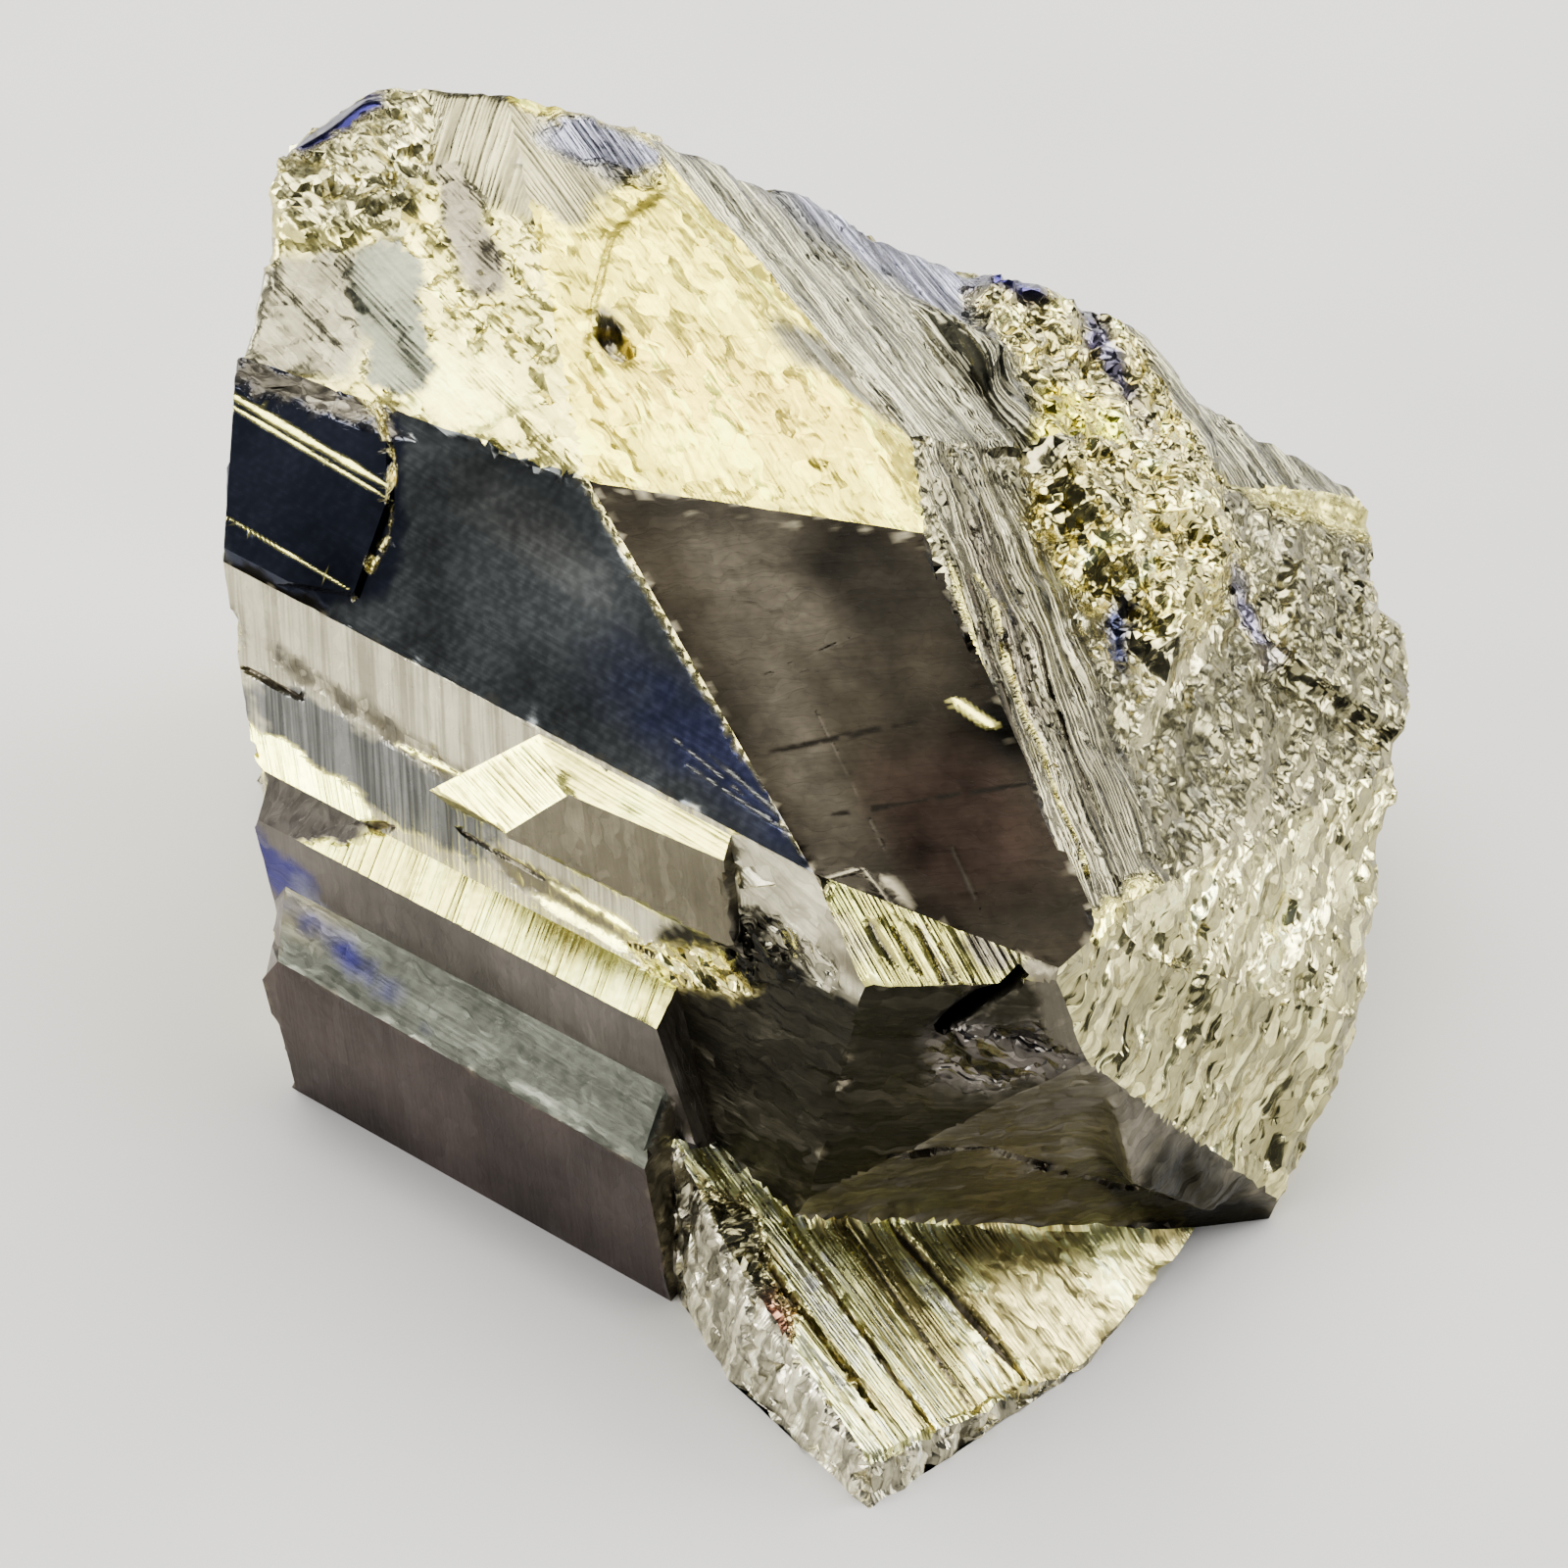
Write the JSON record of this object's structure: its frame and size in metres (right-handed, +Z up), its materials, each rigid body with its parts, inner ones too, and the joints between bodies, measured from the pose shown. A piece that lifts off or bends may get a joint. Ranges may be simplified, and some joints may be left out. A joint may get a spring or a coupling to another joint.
{
  "type": "pyrite cluster",
  "caption": "Brassy pyrite hand specimen: a smooth-faced main crystal with a prow, stepped side ledges, a rough right side and a grooved foot, on a flat broken base.",
  "frame": {"origin": "on the flat broken base, under the middle of the stone", "axes": "+Z up from the base, -Y toward the foot and the stepped ledges, +X toward the rough right side"},
  "size_m": [0.051, 0.0569, 0.0333],
  "materials": {
    "pyrite": "natural metallic lustre, from mirror-smooth crystal faces to broken grain"
  },
  "bodies": {
    "root": {"pyrite_cluster": "pyrite"}
  },
  "joints": []
}
